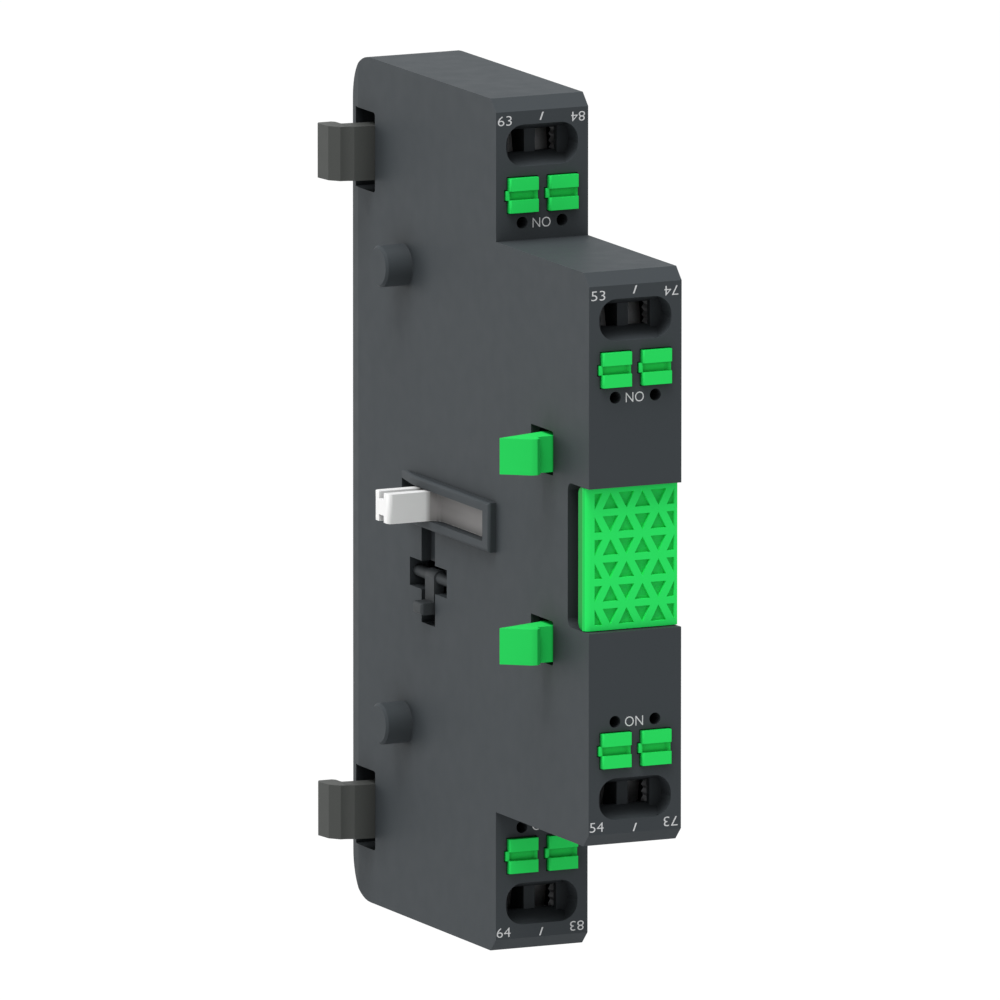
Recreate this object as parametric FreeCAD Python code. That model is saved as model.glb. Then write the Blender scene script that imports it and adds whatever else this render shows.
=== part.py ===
import FreeCAD, Part
import math
import os

# Auxiliary contact block with two normally open contacts, clipped to the side of a contactor.
# X runs from the mating face (x = 0) into the block, Y from the front face rearward, Z up.
# Both halves are alike about z = 0, so most features are made above it and mirrored below.
# Lengths are in millimetres.

V = FreeCAD.Vector
ALONG_X, ALONG_Z = V(1, 0, 0), V(0, 0, 1)

# Case: a front part, and a taller rear part whose faces stand STEP behind the front face
WIDTH = 12.5
DEPTH = 69.2
FRONT_HALF = 35.55
RISE = 17.6
STEP = 26.7
CHAMFER = 1.55
REAR_ROUND = 5.8
REAR_BEVEL = (0.35, 2.3)
WALL = 1.2
COVER_LEDGE = 0.5
COVER_GAP = 0.05
HALF_HEIGHT = FRONT_HALF + RISE
INSIDE = WIDTH - WALL
MIDDLE = WIDTH / 2

# Terminals: the mouth lies below the upper edge of a face, and the rest below one another
MOUTH_DROP = 5.85
BUTTON_BELOW = 6.1
PROBE_BELOW = 3.5
BLOCK_BELOW = 1.75
BUTTON_DROP = MOUTH_DROP + BUTTON_BELOW
PROBE_DROP = BUTTON_DROP + PROBE_BELOW
BLOCK_DROP = PROBE_DROP + BLOCK_BELOW
MOUTH_SIDE = 1.375
MOUTH_HEIGHT = 5.2
MOUTH_ROUND = 2.35
MOUTH_LIP = 0.3
MOUTH_DEPTH = 2.9
FUNNEL_END = 3.65
CHANNEL_SIDE = 1.71
CHANNEL_APART = 1.48
CHANNEL_WIDTH = (INSIDE - WALL - CHANNEL_APART) / 2 - CHANNEL_SIDE
CHANNEL_HEIGHT = 2.85
CHANNEL_LENGTH = 0.75
CHANNEL_PITCH = CHANNEL_WIDTH + CHANNEL_APART
FACE_THICK = FUNNEL_END + CHANNEL_LENGTH
BUTTON_SIDE = 0.4
BUTTON_APART = 1.5
BUTTON_WIDTH = (INSIDE - WALL - BUTTON_APART) / 2 - BUTTON_SIDE
BUTTON_HEIGHT = 4.3
BUTTON_PITCH = BUTTON_WIDTH + BUTTON_APART
BUTTON_PROUD = 0.65
BUTTON_TRAVEL = 1.0
BUTTON_GROOVE = 1.15
BUTTON_EDGE = 0.25
BUTTON_RELIEF = 0.35
BUTTON_NOSE = (0.4, 0.35, 1.2)
GROOVE_FLOOR = 0.1
TONGUE = 0.35
TONGUE_ROOT = 0.15
TONGUE_Y = (-0.25, 0.9)
PROBE_RADIUS = 0.75
GUIDE_GAP = 0.15

# Clamps: a bent leaf presses the wire on a strip that also carries the fixed contact
LEAF = 0.3
LEAF_OVER = 0.4
LEAF_BEND = 1.5
LEAF_BEHIND = 1.1
LEAF_LENGTH = 7.5
LEAF_TIP = 2.0
LEAF_WIDTH = CHANNEL_WIDTH + LEAF_OVER
LEAF_FRONT = FACE_THICK + LEAF_BEHIND
LEAF_BACK = LEAF_FRONT + LEAF_LENGTH
SEAT = 0.6
SEAT_RISE = 0.1
SEAT_DROP = BUTTON_DROP + BUTTON_HEIGHT / 2 - SEAT_RISE
PARTITION_END = 3.0
STRIP = 0.8
STRIP_SIDE = 0.55
STRIP_WIDTH = INSIDE - WALL - 2 * STRIP_SIDE
STRIP_OUT = 2.2
JAW = 0.45
JAW_Y = (FUNNEL_END + 0.1, FACE_THICK + 0.9)
JAW_GAP = 0.05
JAW_TEETH = 4
JAW_BITE = 0.3
JAW_NECK = 1.0

# Contacts and the actuator that closes them by moving rearward
TRAVEL = 6.0
CONTACT_GAP = TRAVEL + 0.02
CONTACT_RADIUS = 1.5
CONTACT_THICK = 0.5
FIXED_FRONT = 1.3
FIXED_REAR = 10.2
FIXED_Y = (STEP + FIXED_FRONT, DEPTH - FIXED_REAR)
CARRIER_FRONT = 14.8
CARRIER_REAR = 2.0
CARRIER_SIDE = 0.5
CARRIER_HALF = 4.2
CARRIER_GAP = 0.05
CARRIER_X = (3.0, INSIDE - CARRIER_SIDE)
CARRIER_Y = (CARRIER_FRONT, FIXED_Y[1] - CARRIER_REAR)
CARRIER_MIDDLE = sum(CARRIER_X) / 2
CONTACT_OUT = 3.8
CONTACT_Z = CARRIER_HALF + CONTACT_OUT
BRIDGE_OVER = 2.0
BRIDGE = (4.0, 0.8, CONTACT_Z + BRIDGE_OVER)
STRIP_OVER = 2.5
STRIP_END = CONTACT_Z - STRIP_OVER
SPRING_ROOM = 4.0
FINGER_Y = (43.8, 48.0)
FINGER_TIP = -6.6
FINGER_HALF = 1.85
FINGER_GROOVE = (1.4, 0.85)
FINGER_FILLET = 1.5
FINGER_ROUND = 0.6
KEY_X = 0.2
KEY_GAP = 0.05
SLOT_FRONT = 1.75
SLOT_END = 0.1
SLOT_Y = (STEP + SLOT_FRONT, FINGER_Y[1] + TRAVEL + SLOT_END)
SLOT_HALF = FINGER_HALF + KEY_GAP
COLLAR_PROUD = 1.04
COLLAR_WALL = 1.2
COLLAR_HALF = SLOT_HALF + COLLAR_WALL
COLLAR_RAMP = 5.5
COLLAR_BEND = 20.0
COLLAR_ROUND = 0.4
GUIDE_FRONT = 2.0
GUIDE_REAR = 16.0
GUIDE_Y = (FIXED_Y[0] + GUIDE_FRONT, FIXED_Y[1] - GUIDE_REAR)

# Release slider: front button, legs, and two latches that hook forward on the contactor
RELEASE_TRAVEL = 2.5
POCKET_HALF = 8.95
POCKET_ROUND = 1.0
PLATE_FRONT = 1.1
PLATE = 2.35
PLATE_SKIN = 0.85
PLATE_CORE = 0.2
PLATE_GAP = 0.1
PLATE_ROUND = 0.8
PLATE_SIDE = 0.02
PLATE_STUD = 1.6
PLATE_BACK = PLATE_FRONT + PLATE
PLATE_HALF = POCKET_HALF - PLATE_GAP
POCKET_GAP = 0.1
POCKET_DEPTH = PLATE_BACK + RELEASE_TRAVEL + POCKET_GAP
LATCH_BEYOND = 2.85
LATCH_BEHIND = 2.95
LATCH_HALF = 2.25
LATCH_LENGTH = 3.4
LATCH_ROOM = 0.5
LATCH_GAP = 0.02
LATCH_Z = POCKET_HALF + LATCH_BEYOND
LATCH_Y = POCKET_DEPTH + WALL + LATCH_BEHIND
LATCH_WINDOW = (LATCH_LENGTH + RELEASE_TRAVEL + LATCH_ROOM, LATCH_HALF + LATCH_ROOM)
LEG_WALL = 3.3
LEG_SIDE = 0.5
LEG_IN = (3.95, 1.15)
LEG_X = (LEG_WALL, INSIDE - LEG_SIDE)
LEG_Z = (POCKET_HALF - LEG_IN[0], POCKET_HALF - LEG_IN[1])
BLOCK_X = (1.5, 7.0)
BLOCK_ENDS = (1.9, 4.1)
BLOCK_Y = (LATCH_Y - BLOCK_ENDS[0], LATCH_Y + BLOCK_ENDS[1])
GRIP_ROWS = 6
GRIP_COLUMNS = 6
GRIP_SIDES = (1.3, 0.4)
GRIP_MARGIN = 1.68
GRIP_PITCH = ((WIDTH - sum(GRIP_SIDES)) / (GRIP_COLUMNS - 1),
              2 * (PLATE_HALF - GRIP_MARGIN) / (GRIP_ROWS - 1))
GRIP_RIB = (1.09, 0.87)
GRIP_DEPTH = 0.45

# Coil springs: mean radii, wire, and where they start
COIL_WIRE = 0.45
COIL_GAP = 0.3
COIL_CHORDS = 12
COIL_END = 0.1
RELEASE_COIL = 1.6
RETURN_COIL = 2.0
CONTACT_COIL = 1.4
CUP_DEPTH = 6.25
CUP_WALL = 0.6
CUP_FLOOR = 0.8
CUP_BOTTOM = POCKET_DEPTH + CUP_DEPTH
RETURN_DEPTH = 4.0
RETURN_FRONT = CARRIER_Y[1] - RETURN_DEPTH
RETURN_SEAT = 1.5

# Fixings on the mating face
PEG_RADIUS = 2.6
PEG_LENGTH = 3.55
PEG_CHAMFER = 0.3
PEG_REAR = 15.7
PEG_DROP = 24.45
PEG_Y = DEPTH - PEG_REAR
PEG_Z = HALF_HEIGHT - PEG_DROP
HOOK_REAR = 7.25
HOOK_DROP = 11.75
HOOK_Y = DEPTH - HOOK_REAR
HOOK_Z = HALF_HEIGHT - HOOK_DROP
HOOK_HALF = 3.4
HOOK_ROOM = 1.6
HOOK_WINDOW = (6.0, HOOK_HALF + HOOK_ROOM)
WINDOW_ROUND = 0.4
HOOK_BASE_X = 3.0
HOOK_BASE = 2.0
HOOK_SEAT = 1.5
HOOK_POST = 1.5
HOOK_GAP = 0.05
HOOK_ROUND = 0.3
HOOK_DISH = (3.2, 0.12)
HOOK_PROFILE = ((0, 0), (-2.6, 0.4), (-4.25, 0.95), (-5.3, 2.25), (-5.6, 4.75), (-5.25, 5.35),
                (-3.5, 5.35), (-3.1, 4.95), (-3.0, 3.4), (0, 3.0))
LATCH_PROFILE = ((0, 0), (-2.2, 0), (-2.2, -1.0), (-2.75, -1.35), (-3.5, -1.2), (-6.65, 1.25),
                 (0.1, LATCH_LENGTH))

# Lever in the T-shaped slot below the collar, and its leaf spring on a post
LEVER_Y = 46.35
LEVER_WIDTH = 2.6
PIVOT_X = 1.2
PIVOT_Z = -9.4
PIVOT_RADIUS = 0.75
PIVOT_FIT = 0.05
PIVOT_END = 0.5
T_BAR = (10.8, 3.56)
T_STEM = (3.95, -15.3)
T_FLOOR = 1.27
BOSS_X = 2.6
BOSS_SIDE = 1.9
ARM_X = (0.25, 1.6)
ARM_ASIDE = 0.2
ARM_REACH = 4.5
FOOT_X = -1.5
FOOT = 1.5
FOOT_ROUND = 0.4
TAIL_X = 4.2
TAIL = 1.0
LEVER_LEAF_X = (2.9, 4.3)
LEVER_LEAF = 0.25
LEVER_LEAF_GAP = 0.05
POST_X = 5.0
POST_AHEAD = (12.35, 9.85)
POST_BESIDE = (1.2, 2.2)
POST_Y = (LEVER_Y - POST_AHEAD[0], LEVER_Y - POST_AHEAD[1])
POST_Z = (PIVOT_Z - POST_BESIDE[0], PIVOT_Z + POST_BESIDE[1])

# The frame's origin lies on the mating face, in the middle of the front part
ORIGIN_Y = STEP / 2


def box(x0, x1, y0, y1, z0, z1):
    return Part.makeBox(x1 - x0, y1 - y0, z1 - z0, V(x0, y0, z0))


def extrude(points, direction):
    return Part.Face(Part.makePolygon(points + points[:1])).extrude(direction)


def prism_x(points, x0, x1):
    return extrude([V(x0, y, z) for y, z in points], V(x1 - x0, 0, 0))


def prism_z(points, z0, z1):
    return extrude([V(x, y, z0) for x, y in points], V(0, 0, z1 - z0))


def rod_y(radius, x, z, y0, y1):
    return Part.makeCylinder(radius, y1 - y0, V(x, y0, z), V(0, 1, 0))


def fuse(shapes):
    return shapes[0].multiFuse(shapes[1:]).removeSplitter()


def below(shape):
    return shape.mirror(V(0, 0, 0), V(0, 0, 1))


def both(shape):
    return [shape, below(shape)]


def fillet(shape, radius, along, wanted):
    """Round the edges whose ends are wanted; along is their direction, or None for any."""
    edges = []
    for edge in shape.Edges:
        ends = [v.Point for v in edge.Vertexes]
        if len(ends) == 2 and all(wanted(p) for p in ends):
            if along is None or near(abs((ends[1] - ends[0]).normalize().dot(along)), 1):
                edges.append(edge)
    return shape.makeFillet(radius, edges)


def near(a, b):
    return abs(a - b) < 1e-4


def coil(radius, wire, turns, x, y0, y1):
    """Compression spring of square wire along Y between y0 and y1, bent in short chords."""
    pitch = (y1 - y0 - wire - 2 * COIL_END) / turns
    path = Part.makePolygon([V(radius * math.cos(turn), radius * math.sin(turn), pitch * turn / (2 * math.pi))
                             for turn in (2 * math.pi * i / COIL_CHORDS for i in range(turns * COIL_CHORDS + 1))])
    section = Part.makePolygon([V(radius + dx * wire, 0, dz * wire) for dx, dz in
                                ((-0.5, -0.5), (0.5, -0.5), (0.5, 0.5), (-0.5, 0.5), (-0.5, -0.5))])
    spring = path.makePipeShell([section], True, True, 1)
    spring.rotate(V(0, 0, 0), V(1, 0, 0), -90)
    spring.translate(V(x, y0 + wire / 2 + COIL_END, 0))
    return spring


def case_solid(inset, x0, x1):
    """The side outline of the block moved in by inset, between two planes of constant x."""
    cut = CHAMFER - inset * (2 - math.sqrt(2))
    front, step, rear = inset, STEP + inset, DEPTH - inset
    low, high = FRONT_HALF - inset, HALF_HEIGHT - inset
    upper = [(front, low - cut), (front + cut, low), (step, low), (step, high - cut),
             (step + cut, high), (rear, high)]
    outline = upper + [(y, -z) for y, z in reversed(upper)]
    solid = prism_x(outline, x0, x1)
    return fillet(solid, REAR_ROUND - inset, ALONG_X, lambda p: near(p.y, rear) and near(abs(p.z), high))


SIDES = (("left", -0.5), ("right", 0.5))
LEVELS = ((0.0, FRONT_HALF, FIXED_Y[0]), (STEP, HALF_HEIGHT, FIXED_Y[1]))


def terminal_block(face, edge):
    """Upper face block with the ribs that carry the clamps behind it."""
    mouth = edge - MOUTH_DROP
    behind, back = face + FACE_THICK, face + LEAF_BACK
    block = box(WALL, INSIDE, face + WALL / 2, behind, edge - BLOCK_DROP, edge - WALL / 2)
    strip_seat = box(WALL, INSIDE, behind, back, mouth + STRIP_OUT + STRIP, edge - WALL / 2)
    leaf_seat = box(WALL, INSIDE, behind, back, edge - SEAT_DROP - SEAT, edge - SEAT_DROP)
    thick = CHANNEL_APART / 2
    partition = box(MIDDLE - thick / 2, MIDDLE + thick / 2, behind, back - PARTITION_END,
                    edge - SEAT_DROP, mouth + STRIP_OUT)
    return [block, strip_seat, leaf_seat, partition]


def wire_mouth(face, mouth):
    """Recess with rounded ends and a ledge, whose floor and roof slant in to the two channels."""
    half, wide, high = (CHANNEL_PITCH + CHANNEL_WIDTH) / 2, WIDTH / 2 - MOUTH_SIDE, MOUTH_HEIGHT / 2
    start, end = face - 1.0, face + FUNNEL_END
    recess = box(MIDDLE - wide, MIDDLE + wide, start, face + MOUTH_DEPTH, mouth - high, mouth + high)
    recess = fillet(recess, MOUTH_ROUND, V(0, 1, 0), lambda p: True)
    slot = box(MIDDLE - half, MIDDLE + half, face + MOUTH_LIP, end, mouth - high, mouth + high)
    low = CHANNEL_HEIGHT / 2
    slant = prism_x([(start, mouth + high), (face + MOUTH_LIP, mouth + high), (end, mouth + low),
                     (end, mouth - low), (face + MOUTH_LIP, mouth - high), (start, mouth - high)], 0, WIDTH)
    return recess.fuse(slot).common(slant)


def jaw(face, mouth, side, gap):
    """Toothed plate at the outer side of a wire channel, or with a gap the room cut for it."""
    inner = MIDDLE + side * (CHANNEL_PITCH + CHANNEL_WIDTH)
    outer = inner + 2 * side * (JAW + gap)
    top, bottom = mouth + STRIP_OUT + gap, mouth - CHANNEL_HEIGHT / 2 - gap
    front, back = face + JAW_Y[0] - gap, face + JAW_Y[1] + gap
    if gap:
        return box(*sorted((inner, outer)), front, back, bottom, top)
    tooth = (top - bottom) / JAW_TEETH
    root = inner + 2 * side * JAW_BITE
    teeth = [(x, bottom + (i + part) * tooth) for i in range(JAW_TEETH)
             for x, part in ((inner, 0.0), (root, 0.5))]
    outline = teeth + [(inner, top), (outer, top), (outer, bottom)]
    return extrude([V(x, front, z) for x, z in outline], V(0, back - front, 0))


def terminal_cuts(face, edge):
    """Wire mouth and channels, button wells and probe holes of an upper face."""
    mouth = edge - MOUTH_DROP
    start, deep = face - 1.0, face + FACE_THICK + 0.1
    cuts = [wire_mouth(face, mouth)]
    for _, side in SIDES:
        cuts.append(jaw(face, mouth, side, JAW_GAP))
        x, half = MIDDLE + side * CHANNEL_PITCH, CHANNEL_WIDTH / 2
        cuts.append(box(x - half, x + half, face + FUNNEL_END - 0.1, deep,
                        mouth - CHANNEL_HEIGHT / 2, mouth + CHANNEL_HEIGHT / 2))
        x, z = MIDDLE + side * BUTTON_PITCH, edge - BUTTON_DROP
        half_x, half_z = BUTTON_WIDTH / 2 + GUIDE_GAP, BUTTON_HEIGHT / 2 + GUIDE_GAP
        cuts.append(box(x - half_x, x + half_x, start, deep, z - half_z, z + half_z))
        half_tongue = BUTTON_GROOVE / 2 + GUIDE_GAP
        cuts.append(box(x - half_x - TONGUE, x - half_x + 0.1, start, face + TONGUE_Y[1] + BUTTON_TRAVEL + GUIDE_GAP,
                        z - half_tongue, z + half_tongue))
        cuts.append(rod_y(PROBE_RADIUS, x, edge - PROBE_DROP, start, deep))
    return cuts


def pocket():
    """Space of the front button, open to the front and to both sides."""
    space = box(-1.0, WIDTH + 1.0, -1.0, POCKET_DEPTH, -POCKET_HALF, POCKET_HALF)
    return fillet(space, POCKET_ROUND, ALONG_X, lambda p: near(p.y, POCKET_DEPTH))


def housing():
    body = case_solid(0.0, 0.0, WIDTH)
    body = body.cut(prism_z([(0, DEPTH - REAR_BEVEL[1]), (REAR_BEVEL[0], DEPTH), (REAR_BEVEL[0], DEPTH + 1),
                             (-1, DEPTH + 1), (-1, DEPTH - REAR_BEVEL[1])], -HALF_HEIGHT, HALF_HEIGHT))
    body = body.cut([case_solid(WALL, WALL, WIDTH + 1), case_solid(WALL - COVER_LEDGE, INSIDE, WIDTH + 1)])

    # Inner walls and ribs are clipped to the case, so none reaches through a chamfer
    ribs, cuts = [], [pocket()]
    for face, edge, _ in LEVELS:
        for piece in terminal_block(face, edge):
            ribs += both(piece)
        for piece in terminal_cuts(face, edge):
            cuts += both(piece)

    # Walls round the button's pocket, with a cup for its spring and openings for its legs
    back = POCKET_DEPTH + WALL
    ribs.append(box(WALL, INSIDE, WALL / 2, back, -POCKET_HALF - WALL, POCKET_HALF + WALL))
    cup = RELEASE_COIL + COIL_WIRE / 2 + COIL_GAP
    outer = cup + CUP_WALL
    ribs.append(box(MIDDLE - outer, MIDDLE + outer, back - 0.1, CUP_BOTTOM + CUP_FLOOR, -outer, outer))
    cuts.append(rod_y(cup, MIDDLE, 0, POCKET_DEPTH - 0.1, CUP_BOTTOM))
    cuts += both(box(LEG_X[0] - 0.1, LEG_X[1] + 0.1, POCKET_DEPTH - 0.1, back + 0.1, LEG_Z[0] - 0.1, LEG_Z[1] + 0.1))
    for (length, half), y, z in ((LATCH_WINDOW, LATCH_Y, LATCH_Z), (HOOK_WINDOW, HOOK_Y, HOOK_Z)):
        window = box(-1, WALL + 0.1, y, y + length, z - half, z + half)
        cuts += both(fillet(window, WINDOW_ROUND, ALONG_X, lambda p: near(p.y, y)))

    # Guide for the actuator's key and carrier, and the collar round its slot
    guide_x = CARRIER_X[0] - CARRIER_GAP
    guide_z = CARRIER_HALF + CARRIER_GAP
    ribs.append(box(WALL / 2, guide_x, SLOT_Y[0] - WALL, SLOT_Y[1] + WALL, -guide_z - WALL, guide_z + WALL))
    ribs += both(box(WALL / 2, INSIDE, GUIDE_Y[0], GUIDE_Y[1], guide_z, guide_z + WALL))
    collar = prism_z([(0.1, STEP), (-COLLAR_PROUD, STEP), (-COLLAR_PROUD, SLOT_Y[1] - COLLAR_RAMP),
                      (0, SLOT_Y[1]), (0.1, SLOT_Y[1])], -COLLAR_HALF, COLLAR_HALF)
    collar = fillet(collar, COLLAR_BEND, ALONG_Z, lambda p: near(p.y, SLOT_Y[1] - COLLAR_RAMP))
    raised = [fillet(collar, COLLAR_ROUND, None, lambda p: near(p.x, -COLLAR_PROUD))]
    cuts.append(box(-COLLAR_PROUD - 1, guide_x + 0.1, SLOT_Y[0], SLOT_Y[1], -SLOT_HALF, SLOT_HALF))

    # Seat of the return spring on the rear wall
    ribs.append(rod_y(RETURN_COIL - COIL_WIRE / 2 - COIL_GAP / 2, CARRIER_MIDDLE, 0,
                      DEPTH - WALL - RETURN_SEAT, DEPTH - WALL / 2))

    # Lever slot with its bearing boss, and the post that holds the lever's leaf
    bar, stem = T_BAR[0] / 2, T_STEM[0] / 2
    bar_top = PIVOT_Z + T_BAR[1] / 2
    ribs.append(box(WALL / 2, BOSS_X, LEVER_Y - bar - BOSS_SIDE, LEVER_Y + bar + BOSS_SIDE,
                    T_STEM[1] - WALL, -guide_z))
    ribs.append(box(WALL / 2, POST_X, *POST_Y, *POST_Z))
    cuts.append(box(-1, BOSS_X + 0.1, LEVER_Y - bar, LEVER_Y + bar, bar_top - T_BAR[1], bar_top))
    cuts.append(box(-1, BOSS_X + 0.1, LEVER_Y - stem, LEVER_Y + stem, T_STEM[1], PIVOT_Z))
    cuts.append(box(-1, T_FLOOR, LEVER_Y - stem, LEVER_Y + stem, PIVOT_Z, -COLLAR_HALF))
    cuts.append(rod_y(PIVOT_RADIUS + PIVOT_FIT, PIVOT_X, PIVOT_Z,
                      LEVER_Y - bar - PIVOT_END - 0.1, LEVER_Y + bar + PIVOT_END + 0.1))
    cuts.append(lever_leaf())

    # Round pegs that locate the block, and shoulders behind which the hooks sit
    peg = Part.makeCylinder(PEG_RADIUS, PEG_LENGTH + WALL / 2, V(WALL / 2, PEG_Y, PEG_Z), V(-1, 0, 0))
    peg = peg.makeChamfer(PEG_CHAMFER, [e for e in peg.Edges if all(near(v.X, -PEG_LENGTH) for v in e.Vertexes)])
    raised += both(peg)
    for z in (HOOK_Z - HOOK_WINDOW[1] - HOOK_SEAT, HOOK_Z + HOOK_WINDOW[1]):
        ribs += both(box(WALL / 2, HOOK_BASE_X, HOOK_Y - 0.6, DEPTH - WALL / 2, z, z + HOOK_SEAT))

    inner = fuse(ribs).common(case_solid(WALL / 2, WALL / 2, INSIDE))
    return fuse([body, inner] + raised).cut(cuts).removeSplitter()


def cover():
    plate = case_solid(WALL - COVER_LEDGE + COVER_GAP, INSIDE, WIDTH).cut(pocket())
    pad = box(CARRIER_X[1] + CARRIER_GAP, INSIDE + 0.1, *GUIDE_Y, 1 - CARRIER_HALF, CARRIER_HALF - 1)
    return plate.fuse(pad).removeSplitter()


def hook():
    """Hook that clips behind an edge of the contactor, with its base inside the case."""
    profile = [(x, HOOK_Y + HOOK_GAP + y) for x, y in HOOK_PROFILE]
    arm_back = profile[-1][1]
    profile = [(HOOK_BASE_X, profile[0][1])] + profile + [(HOOK_BASE_X, arm_back)]
    arm = prism_z(profile, HOOK_Z - HOOK_HALF, HOOK_Z + HOOK_HALF)
    arm = fillet(arm, HOOK_ROUND, ALONG_Z, lambda p: near(p.x, HOOK_PROFILE[4][0]) or near(p.x, HOOK_PROFILE[5][0]))
    radius, depth = HOOK_DISH
    start, end = V(*profile[2], 0), V(*profile[3], 0)
    outward = (end - start).cross(ALONG_Z).normalize()
    axis = (start + end) / 2 - outward * (radius - depth)
    dish = Part.makeCylinder(radius, 2 * HOOK_HALF + 2, V(axis.x, axis.y, HOOK_Z - HOOK_HALF - 1))
    arm = arm.cut(dish)
    half = HOOK_WINDOW[1] + 1
    plate = box(HOOK_BASE_X, HOOK_BASE_X + HOOK_BASE, HOOK_Y, DEPTH - WALL, HOOK_Z - half, HOOK_Z + half)
    post = box(HOOK_BASE_X, INSIDE, HOOK_Y, arm_back, HOOK_Z - HOOK_POST, HOOK_Z + HOOK_POST)
    return fuse([arm, plate, post])


def strip(face, edge, fixed_y):
    """Terminal strip from the clamps to the fixed contact of an upper terminal."""
    outer = edge - MOUTH_DROP + STRIP_OUT
    back = fixed_y + STRIP
    bar = box(MIDDLE - STRIP_WIDTH / 2, MIDDLE + STRIP_WIDTH / 2, face + FACE_THICK, back, outer, outer + STRIP)
    half = BRIDGE[0] / 2 + 0.5
    run = box(CARRIER_MIDDLE - half, CARRIER_MIDDLE + half, fixed_y, back, STRIP_END, outer + STRIP)
    contact = rod_y(CONTACT_RADIUS, CARRIER_MIDDLE, CONTACT_Z, fixed_y - CONTACT_THICK, fixed_y)
    jaws = []
    for _, side in SIDES:
        plate = jaw(face, edge - MOUTH_DROP, side, 0)
        jaws += [plate, box(plate.BoundBox.XMin, plate.BoundBox.XMax, face + FACE_THICK, face + JAW_Y[1],
                            outer - JAW_NECK, outer + STRIP / 2)]
    return fuse([bar, run, contact] + jaws)


def clamp_leaf(face, edge, x):
    """Leaf bent to a narrow U whose free leg slants across the wire channel to the strip."""
    centre = (face + LEAF_FRONT + LEAF_BEND, edge - SEAT_DROP + LEAF_BEND)
    tip = (face + LEAF_FRONT + LEAF_TIP, edge - MOUTH_DROP + STRIP_OUT - 0.05)
    leave = math.atan2(tip[1] - centre[1], tip[0] - centre[0]) + math.acos(
        LEAF_BEND / math.hypot(tip[0] - centre[0], tip[1] - centre[1]))
    angles = [1.5 * math.pi - i * (1.5 * math.pi - leave) / 6 for i in range(7)]

    def side(inset):
        radius = LEAF_BEND - inset
        bend = [(centre[0] + radius * math.cos(a), centre[1] + radius * math.sin(a)) for a in angles]
        return [(face + LEAF_BACK, centre[1] - radius)] + bend + [(tip[0] - inset / math.cos(leave), tip[1])]

    return prism_x(side(0.0) + side(LEAF)[::-1], x - LEAF_WIDTH / 2, x + LEAF_WIDTH / 2)


def clamp_button(face, edge, x):
    """Green release button: slotted head, tongue at the slot's end, and a nose on the leaf."""
    half_x, half_z, slot = BUTTON_WIDTH / 2, BUTTON_HEIGHT / 2, BUTTON_GROOVE / 2
    left, right = x - half_x, x + half_x
    z = edge - BUTTON_DROP
    front, back = face - BUTTON_PROUD, face + LEAF_FRONT - 0.1
    body = box(left, right, front, back, z - half_z, z + half_z)
    body = fillet(body, BUTTON_EDGE, ALONG_Z, lambda p: near(p.y, front) and near(p.x, left))
    floor = face + GROOVE_FLOOR
    groove = prism_z([(left - 1, front - 1), (left - 1, floor), (right - 0.4, floor),
                      (right, front + 0.3), (right + 1, front - 1)], z - slot, z + slot)
    relief = box(left - 1, right + 1, face + FACE_THICK - BUTTON_TRAVEL - GUIDE_GAP, back + 1,
                 z - half_z - 1, z - half_z + BUTTON_RELIEF)
    tongue = box(left - TONGUE, left + TONGUE_ROOT, face + TONGUE_Y[0], face + TONGUE_Y[1], z - slot, z + slot)
    aside, long, high = BUTTON_NOSE
    nose = box(left + aside, right - aside, back - 0.1, back + long, z + half_z - high, z + half_z)
    return fuse([body.cut([groove, relief]), tongue, nose])


def bridge_back(fixed_y):
    return fixed_y - 2 * CONTACT_THICK - CONTACT_GAP


def bridge(fixed_y):
    """Moving contact that joins two fixed contacts at the end of the travel."""
    width, thick, half = BRIDGE
    back = bridge_back(fixed_y)
    bar = box(CARRIER_MIDDLE - width / 2, CARRIER_MIDDLE + width / 2, back - thick, back, -half, half)
    return fuse([bar] + both(rod_y(CONTACT_RADIUS, CARRIER_MIDDLE, CONTACT_Z, back, back + CONTACT_THICK)))


def actuator():
    """Carrier with a window for each bridge, the key in the slot, and the driven finger."""
    x0, x1 = CARRIER_X
    body = box(x0, x1, *CARRIER_Y, -CARRIER_HALF, CARRIER_HALF)
    half = BRIDGE[0] / 2 + 0.2
    cuts = [rod_y(RETURN_COIL + COIL_WIRE / 2 + COIL_GAP, CARRIER_MIDDLE, 0, RETURN_FRONT, CARRIER_Y[1] + 1)]
    for y in FIXED_Y:
        back = bridge_back(y)
        cuts.append(box(CARRIER_MIDDLE - half, CARRIER_MIDDLE + half, back - BRIDGE[1] - SPRING_ROOM, back,
                        -CARRIER_HALF - 1, CARRIER_HALF + 1))
    key = box(KEY_X, x0, SLOT_Y[0] + KEY_GAP, FINGER_Y[1], -FINGER_HALF, FINGER_HALF)
    finger = box(FINGER_TIP, KEY_X, *FINGER_Y, -FINGER_HALF, FINGER_HALF)
    key = fillet(key.fuse(finger).removeSplitter(), FINGER_FILLET, ALONG_Z,
                 lambda p: near(p.x, KEY_X) and near(p.y, FINGER_Y[0]))
    key = fillet(key, FINGER_ROUND, ALONG_Z, lambda p: near(p.x, FINGER_TIP))
    wide, deep = FINGER_GROOVE
    middle = sum(FINGER_Y) / 2
    groove = box(FINGER_TIP - 1, KEY_X - 0.4, middle - wide / 2, middle + wide / 2,
                 FINGER_HALF - deep, FINGER_HALF + 1)
    return body.cut(cuts).fuse(key.cut(both(groove))).removeSplitter()


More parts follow.
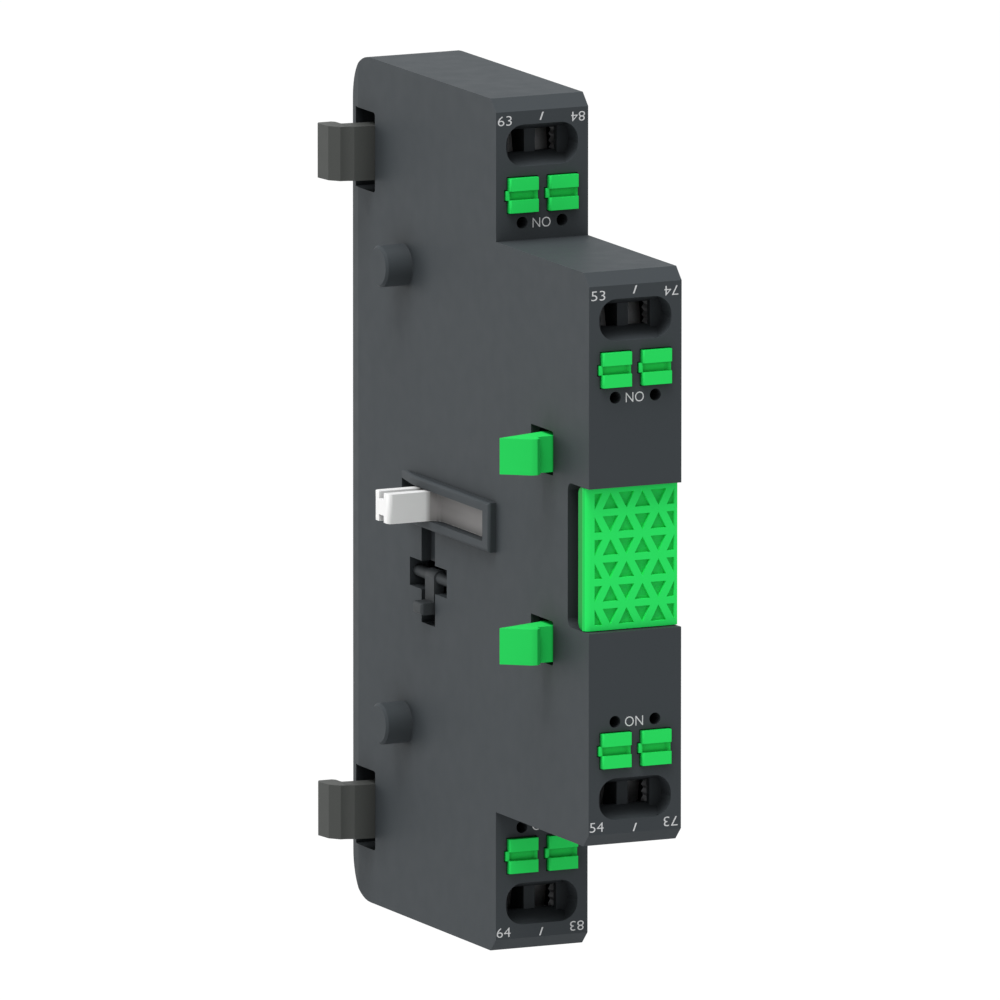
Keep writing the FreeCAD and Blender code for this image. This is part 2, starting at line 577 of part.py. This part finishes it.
def grip(x, z, up, column):
    """Triangular grip pocket, halved in the columns at the plate's sides."""
    half, height = (GRIP_PITCH[0] - GRIP_RIB[0]), (GRIP_PITCH[1] - GRIP_RIB[1]) / 2
    if not up:
        height = -height
    left = x if column == 0 else x - half
    right = x if column == GRIP_COLUMNS - 1 else x + half
    corners = [(left, z - height), (right, z - height), (x, z + height)]
    return extrude([V(cx, PLATE_FRONT - 0.1, cz) for cx, cz in corners], V(0, GRIP_DEPTH + 0.1, 0))


def release_slider():
    """Front button with its legs, the blocks behind the pocket and the two latches."""
    behind = PLATE_FRONT + PLATE_SKIN
    skin = box(PLATE_SIDE, WIDTH - PLATE_SIDE, PLATE_FRONT, behind, -PLATE_HALF, PLATE_HALF)
    skin = fillet(skin, PLATE_ROUND, ALONG_Z, lambda p: near(p.x, PLATE_SIDE) and near(p.y, PLATE_FRONT))
    core = box(PLATE_CORE, WIDTH - PLATE_CORE, behind - 0.1, PLATE_BACK, -PLATE_HALF, PLATE_HALF)
    core = fillet(core, POCKET_ROUND, ALONG_X, lambda p: near(p.y, PLATE_BACK))
    plate = fuse([skin, core])
    grips = []
    for row in range(GRIP_ROWS):
        z = (row - (GRIP_ROWS - 1) / 2) * GRIP_PITCH[1]
        for column in range(GRIP_COLUMNS):
            x = GRIP_SIDES[0] + column * GRIP_PITCH[0]
            grips.append(grip(x, z, (row + column) % 2 == 0, column))

    stud = rod_y(RELEASE_COIL - COIL_WIRE / 2 - COIL_GAP, MIDDLE, 0, PLATE_BACK - 0.1, PLATE_BACK + PLATE_STUD)
    pieces = [plate.cut(grips), stud]
    leg = box(*LEG_X, PLATE_BACK - 0.1, BLOCK_Y[1], *LEG_Z)
    block = box(*BLOCK_X, *BLOCK_Y, LEG_Z[0], LATCH_Z + LATCH_HALF)
    root = BLOCK_X[1] - 1
    profile = [(x, y + LATCH_Y + LATCH_GAP) for x, y in LATCH_PROFILE]
    profile = [(root, profile[0][1])] + profile + [(root, profile[-1][1])]
    latch = prism_z(profile, LATCH_Z - LATCH_HALF, LATCH_Z + LATCH_HALF)
    for piece in (leg, block, latch):
        pieces += both(piece)
    return fuse(pieces)


def lever():
    """Two-armed lever on a cross pin: a foot outside the block and a tail under the leaf."""
    half = LEVER_WIDTH / 2
    y0, y1 = LEVER_Y + ARM_ASIDE - half, LEVER_Y + ARM_ASIDE + half
    reach = T_BAR[0] / 2 + PIVOT_END
    end = PIVOT_Z - ARM_REACH
    pin = rod_y(PIVOT_RADIUS, PIVOT_X, PIVOT_Z, LEVER_Y - reach, LEVER_Y + reach)
    hub = rod_y(PIVOT_X - ARM_X[0], PIVOT_X, PIVOT_Z, y0, y1)
    arm = box(*ARM_X, y0, y1, end, PIVOT_Z)
    foot = box(FOOT_X, ARM_X[1], y0, y1, end, end + FOOT)
    foot = fillet(foot, FOOT_ROUND, None, lambda p: near(p.x, FOOT_X))
    tail = box(PIVOT_X, TAIL_X, y0, y1, PIVOT_Z - TAIL / 2, PIVOT_Z + TAIL / 2)
    return fuse([pin, hub, arm, foot, tail])


def lever_leaf():
    z = PIVOT_Z + TAIL / 2 + LEVER_LEAF_GAP
    return box(*LEVER_LEAF_X, POST_Y[0] + 0.5, LEVER_Y + LEVER_WIDTH / 2, z, z + LEVER_LEAF)


parts = {
    "housing": housing(),
    "cover": cover(),
    "upper_hook": hook(),
    "lower_hook": below(hook()),
    "release_slider": release_slider(),
    "release_spring": coil(RELEASE_COIL, COIL_WIRE, 5, MIDDLE, PLATE_BACK, CUP_BOTTOM),
    "actuator": actuator(),
    "return_spring": coil(RETURN_COIL, COIL_WIRE, 6, CARRIER_MIDDLE, RETURN_FRONT, DEPTH - WALL),
    "lever": lever(),
    "lever_leaf": lever_leaf(),
}
for number, (face, edge, fixed_y) in zip((5, 6), LEVELS):
    parts[f"bridge_{number}"] = bridge(fixed_y)
    parts[f"contact_spring_{number}"] = coil(CONTACT_COIL, COIL_WIRE, 3, CARRIER_MIDDLE,
                                             bridge_back(fixed_y) - BRIDGE[1] - SPRING_ROOM,
                                             bridge_back(fixed_y) - BRIDGE[1])
    for end, place in (("3", lambda shape: shape), ("4", below)):
        name = f"{number}{end}"
        parts[f"strip_{name}"] = place(strip(face, edge, fixed_y))
        for side, sign in SIDES:
            x = MIDDLE + sign * (BUTTON_PITCH + CHANNEL_PITCH) / 2
            parts[f"clamp_{name}_{side}"] = place(clamp_leaf(face, edge, x))
            x = MIDDLE + sign * BUTTON_PITCH
            parts[f"button_{name}_{side}"] = place(clamp_button(face, edge, x))

os.makedirs("parts", exist_ok=True)
for name, shape in parts.items():
    shape.translate(V(0, -ORIGIN_Y, 0))
    shape.exportStep(f"parts/{name}.step")
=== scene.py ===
import bmesh
import bpy
import math
from mathutils import Matrix, Vector


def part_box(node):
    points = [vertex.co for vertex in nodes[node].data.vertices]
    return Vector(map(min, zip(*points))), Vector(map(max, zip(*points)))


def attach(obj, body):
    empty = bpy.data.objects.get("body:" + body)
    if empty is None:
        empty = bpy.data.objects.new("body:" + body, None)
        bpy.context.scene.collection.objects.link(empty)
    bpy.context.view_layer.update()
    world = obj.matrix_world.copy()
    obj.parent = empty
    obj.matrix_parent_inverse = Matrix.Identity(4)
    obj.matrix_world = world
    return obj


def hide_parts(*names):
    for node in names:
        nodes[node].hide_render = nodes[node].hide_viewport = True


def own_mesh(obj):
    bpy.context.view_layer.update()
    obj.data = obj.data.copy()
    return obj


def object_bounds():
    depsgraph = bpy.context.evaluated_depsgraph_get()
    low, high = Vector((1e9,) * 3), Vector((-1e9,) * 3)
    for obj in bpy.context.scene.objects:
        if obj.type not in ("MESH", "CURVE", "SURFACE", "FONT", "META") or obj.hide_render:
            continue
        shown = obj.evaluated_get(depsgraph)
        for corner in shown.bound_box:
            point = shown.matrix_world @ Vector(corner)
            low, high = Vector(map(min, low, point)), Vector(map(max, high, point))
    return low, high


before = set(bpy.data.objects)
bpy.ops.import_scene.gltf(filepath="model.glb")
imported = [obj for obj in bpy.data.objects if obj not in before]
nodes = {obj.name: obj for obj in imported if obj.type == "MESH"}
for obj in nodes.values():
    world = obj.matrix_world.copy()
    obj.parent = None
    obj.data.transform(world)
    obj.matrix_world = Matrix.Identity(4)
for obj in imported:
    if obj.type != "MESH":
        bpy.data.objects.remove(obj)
cad_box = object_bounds()
scene = bpy.context.scene
MM = 0.001


# Camera: a long lens far away, low on the front left of the block, as in the photograph.
# Its target is a point near the middle of the case, which the lens shift sets off centre.
AZIMUTH, ELEVATION, ROLL = (math.radians(angle) for angle in (-25.2051, 10.0069, 0.0285))
TARGET = Vector((6.25, 16.65, 0.0)) * MM
DISTANCE = 3.60035


def add(name, data):
    """Puts a new object in the scene."""
    item = bpy.data.objects.new(name, data)
    scene.collection.objects.link(item)
    return item


back = Vector((math.sin(AZIMUTH) * math.cos(ELEVATION),
               -math.cos(AZIMUTH) * math.cos(ELEVATION), math.sin(ELEVATION)))
camera = add("camera", bpy.data.cameras.new("camera"))
camera.data.sensor_width = 36
camera.data.lens = 1053.62
camera.data.shift_x = -0.030513
camera.data.shift_y = 0.019638
camera.data.clip_start, camera.data.clip_end = 0.1, 100
camera.location = TARGET + back * DISTANCE
camera.rotation_mode = "QUATERNION"
level = (-back).to_track_quat("-Z", "Y")
camera.rotation_quaternion = level @ Matrix.Rotation(ROLL, 3, "Z").to_quaternion()
scene.camera = camera


# Case: housing and cover moulded in dark grey polyamide, with the fine grain of a spark-eroded
# tool, faint flow marks, and edges that are rounded by the tool. A painted highlight runs along
# the edges and painted shade darkens the recesses.
FLOW_SCALE, PATCH_SCALE, GRAIN_SCALE = 70, 400, 5000
GLOSS = 0.08
HIGHLIGHT_RADIUS = 0.15 * MM
DEEPEST_SHADE = 0.25


def new_material(name):
    """A material with its node tree, its shader, and the place in the piece's own frame."""
    material = bpy.data.materials.new(name)
    material.use_nodes = True
    tree = material.node_tree
    place = tree.nodes.new("ShaderNodeTexCoord").outputs["Object"]
    return material, tree, tree.nodes["Principled BSDF"], place


def spread(tree, value, source, target):
    """Maps a value from one range to another, clamped to the second."""
    ramp = tree.nodes.new("ShaderNodeMapRange")
    ranges = zip(("From Min", "From Max", "To Min", "To Max"), (*source, *target))
    for socket, number in ranges:
        ramp.inputs[socket].default_value = number
    tree.links.new(value, ramp.inputs["Value"])
    return ramp.outputs["Result"]


def noise(tree, place, scale, detail):
    texture = tree.nodes.new("ShaderNodeTexNoise")
    texture.inputs["Scale"].default_value = scale
    texture.inputs["Detail"].default_value = detail
    tree.links.new(place, texture.inputs["Vector"])
    return texture.outputs["Fac"]


def mottle(tree, texture, low=0.0, high=1.0):
    """Stretches a noise, which keeps near its middle, over the whole of a range."""
    return spread(tree, texture, (0.3, 0.7), (low, high))


def calculate(tree, operation, first, second):
    node = tree.nodes.new("ShaderNodeMath")
    node.operation = operation
    for socket, value in zip(node.inputs, (first, second)):
        if isinstance(value, (int, float)):
            socket.default_value = value
        else:
            tree.links.new(value, socket)
    return node.outputs["Value"]


def blend(tree, amount, first, second, how="MIX"):
    """Mixes two colours, each a socket or three numbers."""
    node = tree.nodes.new("ShaderNodeMix")
    node.data_type, node.blend_type = "RGBA", how
    sockets = (node.inputs[0], node.inputs[6], node.inputs[7])
    for socket, value in zip(sockets, (amount, first, second)):
        if isinstance(value, (int, float)):
            socket.default_value = value
        elif isinstance(value, tuple):
            socket.default_value = (*value, 1)
        else:
            tree.links.new(value, socket)
    return node.outputs[2]


def bump(tree, shader, height, strength):
    """Raises the surface by up to a hundredth of a millimetre."""
    node = tree.nodes.new("ShaderNodeBump")
    node.inputs["Strength"].default_value = strength
    node.inputs["Distance"].default_value = 0.01 * MM
    tree.links.new(height, node.inputs["Height"])
    tree.links.new(node.outputs["Normal"], shader.inputs["Normal"])


def edges(tree, radius):
    """How near a point is to a sharp edge, from the turn of the surface round it."""
    rounded = tree.nodes.new("ShaderNodeBevel")
    rounded.samples = 4
    rounded.inputs["Radius"].default_value = radius
    plain = tree.nodes.new("ShaderNodeNewGeometry")
    dot = tree.nodes.new("ShaderNodeVectorMath")
    dot.operation = "DOT_PRODUCT"
    tree.links.new(rounded.outputs["Normal"], dot.inputs[0])
    tree.links.new(plain.outputs["Normal"], dot.inputs[1])
    return spread(tree, dot.outputs["Value"], (1.0, 0.8), (0.0, 1.0))


def recesses(tree, reach, shade):
    """Falls from 1 on open faces to the deepest shade where walls stand within reach."""
    recess = tree.nodes.new("ShaderNodeAmbientOcclusion")
    recess.samples = 8
    recess.inputs["Distance"].default_value = reach * MM
    open_share = calculate(tree, "POWER", recess.outputs["AO"], shade)
    return spread(tree, open_share, (0.0, 1.0), (DEEPEST_SHADE, 1.0))


def moulded_plastic(name, colour, roughness, shade=0.5, reach=2.5, edge_highlight=0.12, tone=None):
    """Plastic with grain and flow marks, painted shade in its recesses and a painted highlight
    along its edges.
    """
    material, tree, shader, place = new_material(name)
    shader.inputs["Specular IOR Level"].default_value = GLOSS
    darker = tuple(part * 0.99 for part in colour)
    lighter = tuple(min(part * 1.01, 1.0) for part in colour)
    hue = blend(tree, mottle(tree, noise(tree, place, FLOW_SCALE, 3)), darker, lighter)
    if tone:
        hue = tone(tree, place, hue)
    highlight_hue = tuple(min(part * 1.5 + 0.02, 0.95) for part in colour)
    # Painted highlight: the colour turns paler along sharp edges.
    hue = blend(tree, calculate(tree, "MULTIPLY", edges(tree, HIGHLIGHT_RADIUS), edge_highlight), hue, highlight_hue)
    # Painted shade: the colour is darkened where recess walls stand within reach.
    hue = blend(tree, 1.0, hue, recesses(tree, reach, shade), "MULTIPLY")
    tree.links.new(hue, shader.inputs["Base Color"])
    patches = mottle(tree, noise(tree, place, PATCH_SCALE, 2), roughness - 0.03, roughness + 0.03)
    tree.links.new(patches, shader.inputs["Roughness"])
    bump(tree, shader, noise(tree, place, GRAIN_SCALE, 2), 0.12)
    return material


def finish(name, material, rounding=0.0, flat=True):
    """Gives a CAD node its material, a small edge rounding, and evenly shaded flat faces."""
    node = nodes[name]
    for slot in node.material_slots:
        slot.material = material
    if rounding:
        weld = node.modifiers.new("weld", "WELD")
        weld.merge_threshold = 1e-6
        bevel = node.modifiers.new("bevel", "BEVEL")
        bevel.width = rounding
        bevel.segments = 2
        bevel.limit_method = "ANGLE"
        bevel.angle_limit = math.radians(30)
        if flat:
            node.modifiers.new("flat", "WEIGHTED_NORMAL").weight = 100


# Painted shade reaching 5 mm darkens the side beside the pegs, hooks and latches, and the wire
# mouths.
case_grey = moulded_plastic("case_grey", (0.053, 0.061, 0.067), 0.55, shade=0.8, reach=5.0)
finish("housing", case_grey, 0.12 * MM, flat=False)
finish("cover", case_grey, 0.10 * MM, flat=False)


# Hooks and lever: the same family of plastic in other batches, the hooks a warmer grey.
# The hooks take strong painted shade in their hollows and beside the case.
hook_grey = moulded_plastic("hook_grey", (0.078, 0.082, 0.078), 0.5, shade=1.2, reach=4.0)
lever_grey = moulded_plastic("lever_grey", (0.052, 0.058, 0.062), 0.5, shade=0.8)
for name in ("upper_hook", "lower_hook"):
    finish(name, hook_grey, 0.08 * MM)
finish("lever", lever_grey, 0.05 * MM)


# Actuator: white acetal. Its finger stands out clean, with a painted highlight on the end that
# the contactor pushes and along its edges, and the key that slides along the slot below the
# collar is a darker grey.
def across(tree, place, axis, start, end):
    """Rises from 0 to 1 between two places along an axis, in millimetres."""
    axes = tree.nodes.new("ShaderNodeSeparateXYZ")
    tree.links.new(place, axes.inputs["Vector"])
    return spread(tree, axes.outputs[axis], (start * MM, end * MM), (0.0, 1.0))


def tip_highlight_grey_key(tree, place, hue):
    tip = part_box("actuator")[0].x / MM
    # Painted highlight: the finger's end face is lifted almost to white.
    hue = blend(tree, across(tree, place, "X", tip + 0.3, tip + 0.1), hue, (0.97, 0.97, 0.965))
    # The actuator is a darker grey from about 0.9 mm outside the case side inwards.
    return blend(tree, across(tree, place, "X", -1.6, -0.9), hue, (0.25, 0.243, 0.24))


white = moulded_plastic("actuator_white", (0.83, 0.83, 0.83), 0.4,
                        shade=0.8, reach=1.5, edge_highlight=0.7, tone=tip_highlight_grey_key)
finish("actuator", white, 0.30 * MM)


# Green controls: eight clamp buttons and the release slider, moulded in a bright green that marks
# what the user may press. Painted shade makes the floors of the slider's grip pockets, its back
# and its latches a darker green.
def painted_shade_behind(tree, place, hue):
    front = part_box("release_slider")[0].y / MM
    # Painted shade on the grip pocket floors, the core behind the skin, and the latches.
    for axis, start, end, darker in (("Y", front + 0.35, front + 0.42, (0.018, 0.64, 0.105)),
                                     ("Y", front + 0.80, front + 0.86, (0.003, 0.34, 0.045)),
                                     ("X", 0.0, -0.2, (0.022, 0.71, 0.116))):
        hue = blend(tree, across(tree, place, axis, start, end), hue, darker)
    return hue


# The buttons take strong painted shade in their grooves and beside the case.
green = moulded_plastic("control_green", (0.022, 0.81, 0.128), 0.42,
                        shade=1.1, reach=0.8, edge_highlight=0.02)
slider_green = moulded_plastic("slider_green", (0.026, 0.90, 0.145), 0.42,
                               shade=0.1, reach=0.6, tone=painted_shade_behind)
for name in nodes:
    if name.startswith("button"):
        finish(name, green, 0.06 * MM)
finish("release_slider", slider_green, 0.04 * MM)


# Metal inside: tinned copper strips and contacts, stainless clamp leaves and springs, seen only
# through the wire mouths and slots.
DRAW_LINES = 3000
DRAWN_OUT = (1, 0.05, 1)


def drawn_metal(name, colour, roughness):
    """Rolled or drawn metal with fine lines along the block's depth."""
    material, tree, shader, place = new_material(name)
    shader.inputs["Metallic"].default_value = 0.85
    stretch = tree.nodes.new("ShaderNodeMapping")
    stretch.inputs["Scale"].default_value = DRAWN_OUT
    tree.links.new(place, stretch.inputs["Vector"])
    lines = noise(tree, stretch.outputs["Vector"], DRAW_LINES, 2)
    hue = blend(tree, mottle(tree, lines), tuple(part * 0.85 for part in colour), colour)
    tree.links.new(hue, shader.inputs["Base Color"])
    worn = mottle(tree, lines, roughness - 0.08, roughness + 0.08)
    tree.links.new(worn, shader.inputs["Roughness"])
    bump(tree, shader, lines, 0.1)
    return material


tin = drawn_metal("tinned_copper", (0.52, 0.53, 0.54), 0.45)
# The stainless is darker than bare steel: painted shade for the dark insides of the mouths.
stainless = drawn_metal("stainless_spring", (0.23, 0.234, 0.238), 0.4)
for name in nodes:
    if name.startswith(("strip", "bridge")):
        finish(name, tin)
    elif name.startswith("clamp") or "spring" in name or name == "lever_leaf":
        finish(name, stainless)


# Coil springs of the release slider and of the actuator, wound from round stainless wire. Each
# stands between its moving piece and the case.
WIRE = 0.45 * MM
STEPS_A_TURN = 28


def as_mesh(name, bm):
    mesh = bpy.data.meshes.new(name)
    bm.to_mesh(mesh)
    bm.free()
    return mesh


def coil_spring(name, turns):
    """Round-wire spring in place of the CAD node, wound at an even pitch."""
    low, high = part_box(name)
    middle = (low + high) / 2
    radius = (high.x - low.x - WIRE) / 2
    steps = STEPS_A_TURN * turns
    bm = bmesh.new()
    bmesh.ops.create_circle(
        bm, cap_ends=True, segments=8, radius=WIRE / 2,
        matrix=Matrix.Translation((middle.x + radius, low.y + WIRE / 2, middle.z)))
    bmesh.ops.spin(
        bm, geom=bm.verts[:] + bm.edges[:] + bm.faces[:], cent=(middle.x, low.y, middle.z),
        axis=(0, 1, 0), dvec=(0, (high.y - low.y - WIRE) / steps, 0),
        angle=math.tau * turns, steps=steps)
    bmesh.ops.recalc_face_normals(bm, faces=bm.faces)
    for face in bm.faces:
        face.smooth = True
    mesh = as_mesh(f"{name}_wire", bm)
    mesh.materials.append(stainless)
    spring = add(f"{name}_wire", mesh)
    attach(spring, "case")
    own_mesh(spring)
    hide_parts(name)


coil_spring("release_spring", 5)
coil_spring("return_spring", 6)


# Printed marks: contact numbers, a stroke between each pair and the contact kind, pad-printed
# in white. Each lies on the face beside the button that names its height and place.
MARK_DEPTH = 0.012 * MM
BUTTON_PROUD = 0.65 * MM
NUMBER_SIZE = (1.88 * MM, 1.2 * MM)
KIND_SIZE = (2.44 * MM, 1.22 * MM)
STROKE_WIDTH, STROKE_LEAN, STROKE_HEIGHT = 0.2 * MM, 0.37 * MM, 1.0 * MM
# For each terminal: its number and its partner's, and 1 where the numbers stand above the button
# or -1 where they hang below it. Then for number, stroke, partner and kind, in millimetres, the
# distance from the mating face and from the button's middle.
MARKS = (
    ("53", "74", 1, (1.24, 9.24), (6.20, 9.71), (11.10, 9.24), (6.18, 3.58)),
    ("54", "73", -1, (1.09, 9.43), (6.25, 9.77), (11.10, 9.42), (6.12, 3.43)),
    ("63", "84", 1, (1.19, 9.29), (6.18, 9.61), (11.12, 9.24), (6.18, 3.58)),
    ("64", "83", -1, (1.07, 9.54), (6.18, 9.76), (11.05, 9.44), (6.18, 3.58)),
)


def printed_ink():
    """White ink that covers a little unevenly."""
    material, tree, shader, place = new_material("white_ink")
    shader.inputs["Specular IOR Level"].default_value = 0.2
    cover = mottle(tree, noise(tree, place, 4000, 3))
    hue = blend(tree, cover, (0.62, 0.63, 0.64), (0.74, 0.75, 0.76))
    tree.links.new(hue, shader.inputs["Base Color"])
    tree.links.new(spread(tree, cover, (0.0, 1.0), (0.5, 0.65)), shader.inputs["Roughness"])
    return material


ink = printed_ink()


def beside(number, spot, side):
    """Place on the front face, from the mating face and the middle of the terminal's button."""
    low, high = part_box(f"button_{number}_left")
    return Vector((spot[0] * MM, low.y + BUTTON_PROUD - MARK_DEPTH / 4,
                   (low.z + high.z) / 2 + side * spot[1] * MM))


def on_face(piece_name, mesh, place, upside_down=False):
    """Stands a flat mark up against a front face and lets it ride on the case."""
    turn = Matrix.Rotation(math.pi if upside_down else 0.0, 4, "Y")
    upright = Matrix.Rotation(math.pi / 2, 4, "X")
    mesh.transform(Matrix.Translation(place) @ turn @ upright)
    mesh.materials.clear()
    mesh.materials.append(ink)
    piece = add(piece_name, mesh)
    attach(piece, "case")


def lettering(words, width, height):
    """Flat mesh of a short text, centred and scaled to the printed size."""
    curve = bpy.data.curves.new("lettering", "FONT")
    curve.body = words
    curve.resolution_u = 4
    curve.extrude = 0.01
    curve.offset = -0.008
    maker = add("lettering", curve)
    mesh = bpy.data.meshes.new_from_object(maker)
    bpy.data.objects.remove(maker)
    bpy.data.curves.remove(curve)
    low = Vector(min(vertex.co[i] for vertex in mesh.vertices) for i in range(3))
    high = Vector(max(vertex.co[i] for vertex in mesh.vertices) for i in range(3))
    size = high - low
    scale = Matrix.Diagonal((width / size.x, height / size.y, MARK_DEPTH / size.z, 1))
    mesh.transform(scale @ Matrix.Translation(-(low + high) / 2))
    return mesh


def stroke():
    """Slanting stroke that parts the numbers of a pair."""
    bm = bmesh.new()
    bmesh.ops.create_grid(bm, x_segments=1, y_segments=1, size=0.5)
    made = bmesh.ops.extrude_face_region(bm, geom=bm.faces[:])
    raised = [item for item in made["geom"] if isinstance(item, bmesh.types.BMVert)]
    bmesh.ops.translate(bm, verts=raised, vec=(0, 0, 1))
    bmesh.ops.translate(bm, verts=bm.verts, vec=(0, 0, -0.5))
    bmesh.ops.recalc_face_normals(bm, faces=bm.faces)
    mesh = as_mesh("stroke", bm)
    slant = Matrix.Identity(4)
    slant[0][1] = STROKE_LEAN / STROKE_WIDTH
    mesh.transform(Matrix.Diagonal((STROKE_WIDTH, STROKE_HEIGHT, MARK_DEPTH, 1)) @ slant)
    return mesh


for number, partner, up, first, between, second, kind in MARKS:
    on_face(f"mark_{number}", lettering(number, *NUMBER_SIZE), beside(number, first, up))
    on_face(f"mark_{partner}", lettering(partner, *NUMBER_SIZE), beside(number, second, up),
            upside_down=True)
    on_face(f"stroke_{number}", stroke(), beside(number, between, up))
    on_face(f"contact_kind_{number}", lettering("NO", *KIND_SIZE), beside(number, kind, -up),
            upside_down=up < 0)


# Stage: a white floor a little below the block, like a sheet of white glass it is held over. It
# shows as white as the background to the camera and in reflections, and takes a faint shadow.
FLOOR_HALF = 15.0
FLOOR_DROP = 40 * MM
FLOOR_GLOW = 1.06
GLOW_SHARE = 0.93


def seen_directly(tree):
    """1 for what the camera, a reflection or a clear piece shows, 0 for the light that falls."""
    path = tree.nodes.new("ShaderNodeLightPath").outputs
    direct = calculate(tree, "MAXIMUM", path["Is Camera Ray"], path["Is Glossy Ray"])
    return calculate(tree, "MAXIMUM", direct, path["Is Transmission Ray"])


def white_floor():
    """Grey for the light that falls on it, and mostly a white glow where it is seen directly."""
    material = bpy.data.materials.new("white_floor")
    material.use_nodes = True
    tree = material.node_tree
    tree.nodes.clear()
    surface = tree.nodes.new("ShaderNodeOutputMaterial")
    mix = tree.nodes.new("ShaderNodeMixShader")
    diffuse = tree.nodes.new("ShaderNodeBsdfDiffuse")
    diffuse.inputs["Color"].default_value = (0.57, 0.57, 0.57, 1)
    glow = tree.nodes.new("ShaderNodeEmission")
    glow.inputs["Strength"].default_value = FLOOR_GLOW
    tree.links.new(calculate(tree, "MULTIPLY", seen_directly(tree), GLOW_SHARE), mix.inputs[0])
    tree.links.new(diffuse.outputs[0], mix.inputs[1])
    tree.links.new(glow.outputs[0], mix.inputs[2])
    tree.links.new(mix.outputs[0], surface.inputs["Surface"])
    return material


bm = bmesh.new()
bmesh.ops.create_grid(bm, x_segments=1, y_segments=1, size=FLOOR_HALF,
                      matrix=Matrix.Translation((0, 0, cad_box[0].z - FLOOR_DROP)))
floor = add("floor", as_mesh("floor", bm))
floor.data.materials.append(white_floor())


# Light: a white room that shows white to the camera and in reflections, one large soft lamp
# overhead to the left, and a smaller one low behind, which shades the pegs and hooks forward.
ROOM_LIGHT = 0.55
AIM = Vector((0, 0.02, 0))

world = bpy.data.worlds.new("studio")
scene.world = world
world.use_nodes = True
tree = world.node_tree
room = tree.nodes["Background"]
room.inputs["Color"].default_value = (1, 1, 1, 1)
room.inputs["Strength"].default_value = ROOM_LIGHT
backdrop = tree.nodes.new("ShaderNodeBackground")
mix = tree.nodes.new("ShaderNodeMixShader")
tree.links.new(seen_directly(tree), mix.inputs[0])
tree.links.new(room.outputs[0], mix.inputs[1])
tree.links.new(backdrop.outputs[0], mix.inputs[2])
tree.links.new(mix.outputs[0], tree.nodes["World Output"].inputs["Surface"])


def lamp(name, place, size, power):
    """Square lamp, aimed at the block."""
    data = bpy.data.lights.new(name, "AREA")
    data.size = size
    data.energy = power
    item = add(name, data)
    item.location = place
    item.rotation_mode = "QUATERNION"
    item.rotation_quaternion = (AIM - Vector(place)).to_track_quat("-Z", "Y")


lamp("key", (-0.38, -0.25, 1.43), 1.0, 21.8)
lamp("rear_left", (-0.74, 0.93, 0.15), 0.5, 2.7)

scene.view_settings.view_transform = "Standard"
